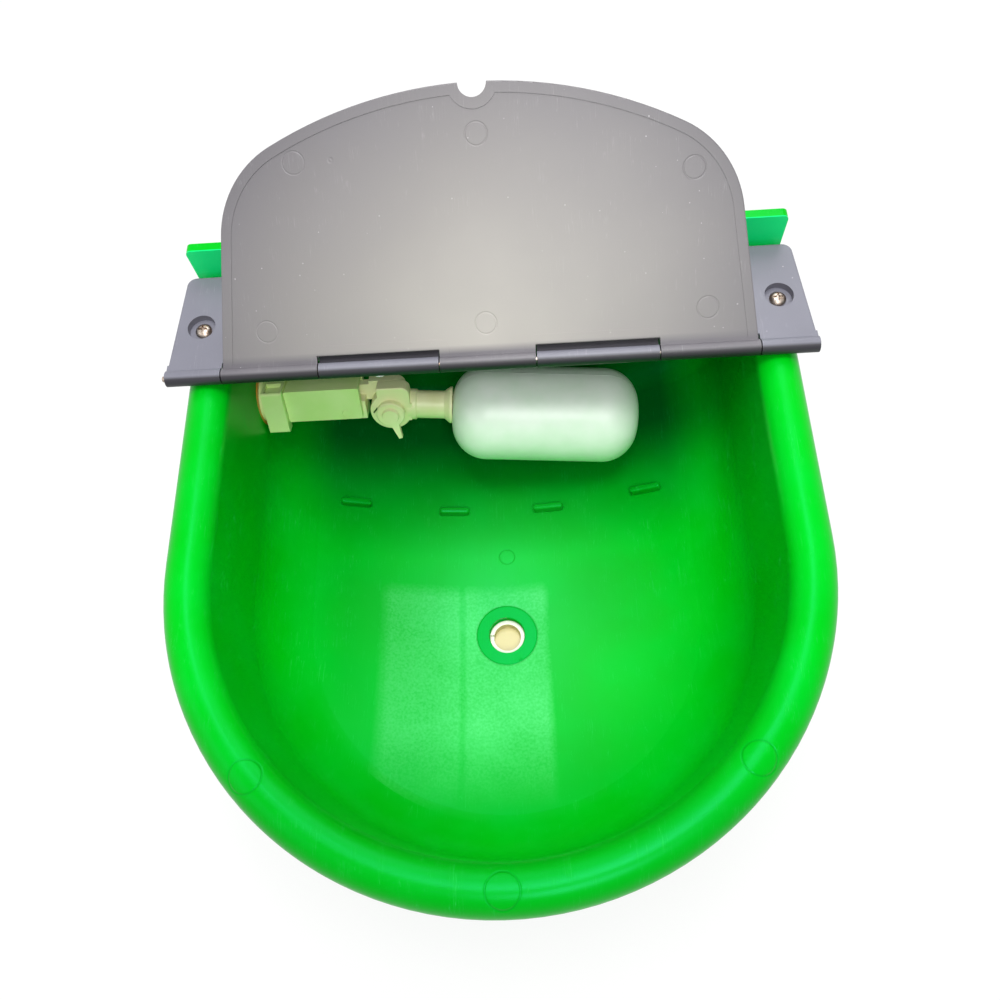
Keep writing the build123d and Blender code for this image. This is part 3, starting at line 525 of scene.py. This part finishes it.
# %% Three threads: the inlet's free end, the drain hole and the drain plug
ridge = thread("inlet_thread_ridge", radius=0.01003, height=0.00042, width=0.0014,
               pitch=0.001814, turns=8)
settle(ridge, (-0.16325, inlet.y, inlet.z), 0, "base", cream)
ridge = thread("drain_hole_thread", radius=0.0105, height=0.00045, width=0.0012,
               pitch=0.0020, turns=2, inward=True)
settle(ridge, (0, drain_y, -0.0800), 90, "base", green)
ridge = thread("drain_plug_thread", radius=0.01012, height=0.0003, width=0.0011,
               pitch=0.0020, turns=4)
settle(ridge, (0, drain_y, -0.0889), 90, "drain_body", drain)

# %% [markdown]
# ## A gate nub
# Under one of the cover's knuckles the moulding gate was snapped off. It is a flattened ball,
# half sunk in the barrel, and its pale colour is a painted glint.

# %% Gate nub under a knuckle
bpy.ops.object.select_all(action="DESELECT")
bpy.ops.mesh.primitive_uv_sphere_add(segments=24, ring_count=12, radius=1.0, location=(0, 0, 0))
nub = bpy.context.object
nub.name = "gate_nub"
bpy.ops.object.mode_set(mode="EDIT")
bpy.ops.mesh.select_all(action="SELECT")
bpy.ops.transform.resize(value=(0.0022, 0.0006, 0.0006), center_override=(0, 0, 0))
bpy.ops.object.mode_set(mode="OBJECT")
bpy.ops.object.shade_smooth()
# Pale colour: a painted glint on the torn spot.
torn_painted_glint = natural_plastic("torn_plastic", colour(226, 222, 228), colour(246, 244, 246), 0.35)
settle(nub, (-0.0544, -0.07246, 0.04946), 0, "base", torn_painted_glint)

# %% [markdown]
# ## Flap stops
# Four small bars on the floor stop the flap when it hangs down. The solid has them square on
# top. The real ones are rounded all over, so a rounded bar is laid over each. It starts as a
# cube, its upright edges are beveled into round ends, and then its top edges are softened.

# %% One rounded bar, then a copy on each stop
def round_edges(piece, chosen, width, steps):
    """Bevels the edges for which chosen(first point, second point) is true."""
    bpy.ops.object.mode_set(mode="EDIT")
    bpy.ops.mesh.select_mode(type="EDGE")
    bpy.ops.mesh.select_all(action="DESELECT")
    bpy.ops.object.mode_set(mode="OBJECT")
    points = piece.data.vertices
    for edge in piece.data.edges:
        first, second = (points[i].co for i in edge.vertices)
        edge.select = chosen(first, second)
    bpy.ops.object.mode_set(mode="EDIT")
    bpy.ops.mesh.bevel(offset=width, segments=steps, affect="EDGES")
    bpy.ops.object.mode_set(mode="OBJECT")


bar_long, bar_wide, bar_deep = 0.0182, 0.00374, 0.0068
bpy.ops.object.select_all(action="DESELECT")
bpy.ops.mesh.primitive_cube_add(size=1, location=(0, 0, 0))
bar = bpy.context.object
bar.name = "flap_stop_a"
bpy.ops.object.mode_set(mode="EDIT")
bpy.ops.mesh.select_all(action="SELECT")
bpy.ops.transform.resize(value=(bar_long, bar_wide, bar_deep), center_override=(0, 0, 0))
bpy.ops.transform.translate(value=(0, 0, -bar_deep / 2))
bpy.ops.object.mode_set(mode="OBJECT")
round_edges(bar, lambda a, b: abs(a.z - b.z) > bar_deep / 2, bar_wide * 0.49, 8)
round_edges(bar, lambda a, b: min(a.z, b.z) > -1e-6, 0.0012, 5)
bpy.ops.object.shade_smooth_by_angle(angle=math.radians(35))
bars = [bar]
for letter in "bcd":
    bpy.ops.object.duplicate()
    bars.append(bpy.context.object)
    bars[-1].name = "flap_stop_" + letter
places = ((-0.0862, -0.09106, -0.0559, -19.87), (-0.0292, -0.09414, -0.0692, -6.43),
          (0.0270, -0.09414, -0.0692, 6.43), (0.0842, -0.09106, -0.0559, 19.87))
for bar, (x, y, z, rise) in zip(bars, places):
    bpy.ops.object.select_all(action="DESELECT")
    bar.select_set(True)
    bpy.context.view_layer.objects.active = bar
    settle(bar, (x, y, z), rise, "base", green)

# %% [markdown]
# ## Floor and light
# The object lies on a plain pale ground. The ground glows a little for the camera alone, so
# it looks white with no extra light on the plastic, and it keeps the soft shadow.

# %% Pale ground
ground_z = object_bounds()[0][2] - 0.0006
bpy.ops.mesh.primitive_plane_add(size=6.0, location=(0, -0.15, ground_z))
ground = bpy.context.object
ground.name = "ground"
bpy.ops.object.transform_apply(location=True)
ground_look = Finish("ground_pale")
ground_look.set(Base_Color=(0.92, 0.92, 0.92, 1.0), Roughness=0.9)
glow = ground_look.add("ShaderNodeEmission", {}, {"Color": (1, 1, 1, 1), "Strength": 1.0})
surface = Value(ground_look, ground_look.shader.outputs[0])
inputs = {0: shown(ground_look) * 0.85, 1: surface, 2: glow}
both = ground_look.add("ShaderNodeMixShader", {}, inputs)
ground_look.tree.links.new(both.socket, ground_look.tree.nodes["Material Output"].inputs["Surface"])
ground.data.materials.append(ground_look.material)
print("ground at z =", round(ground_z, 4))

# %% Soft lamps and a pale world
def soft_lamp(name, place, target, size, watts):
    bpy.ops.object.light_add(type="AREA", location=place)
    lamp = bpy.context.object
    lamp.name = name
    lamp.data.shape = "SQUARE"
    lamp.data.size = size
    lamp.data.energy = watts
    lamp.rotation_euler = (Vector(target) - Vector(place)).to_track_quat("-Z", "Y").to_euler()
    return lamp


soft_lamp("lamp_front", (0.15, -0.8, 1.1), (0, -0.12, 0), 0.35, 7)
soft_lamp("lamp_over", (0.05, -0.12, 1.3), (0, -0.15, 0), 0.45, 10.5)
soft_lamp("lamp_window", (-0.03, 0.27, 1.2), (0, -0.15, -0.07), 0.22, 2.5)
soft_lamp("lamp_left", (-1.1, -0.5, 1.0), (0, -0.12, 0), 0.8, 3)
soft_lamp("lamp_back", (0.2, 1.0, 1.1), (0, -0.05, 0.05), 0.9, 10)
world = bpy.data.worlds.new("pale_world")
bpy.context.scene.world = world
sky = Finish("pale_world", world)
dim = sky.add("ShaderNodeBackground", {}, {"Color": (1, 1, 1, 1), "Strength": 0.22})
white_sky = sky.add("ShaderNodeBackground", {}, {"Color": (1, 1, 1, 1), "Strength": 1.0})
both = sky.add("ShaderNodeMixShader", {}, {0: shown(sky), 1: dim, 2: white_sky})
sky.tree.links.new(both.socket, sky.tree.nodes["World Output"].inputs["Surface"])
bpy.context.scene.view_settings.view_transform = "Standard"

# %% [markdown]
# ## Camera
# The photograph looks steeply down into the bowl from just above its rim. The three
# directions of the camera are written out, and they make its turning matrix.

# %% Camera
right = Vector((0.99805, -0.02726, -0.05608))
up = Vector((0.04811, 0.90880, 0.41446))
bpy.ops.object.camera_add(location=(0.02023, -0.31721, 0.42823))
camera = bpy.context.object
back = right.cross(up).normalized()
turning = Matrix((right, back.cross(right), back)).transposed().to_4x4()
camera.matrix_world = Matrix.Translation(camera.location) @ turning
camera.data.lens = 32.44
camera.data.sensor_width = 36.0
camera.data.clip_start = 0.01
bpy.context.scene.camera = camera
print("camera looks along", [round(c, 3) for c in -back])
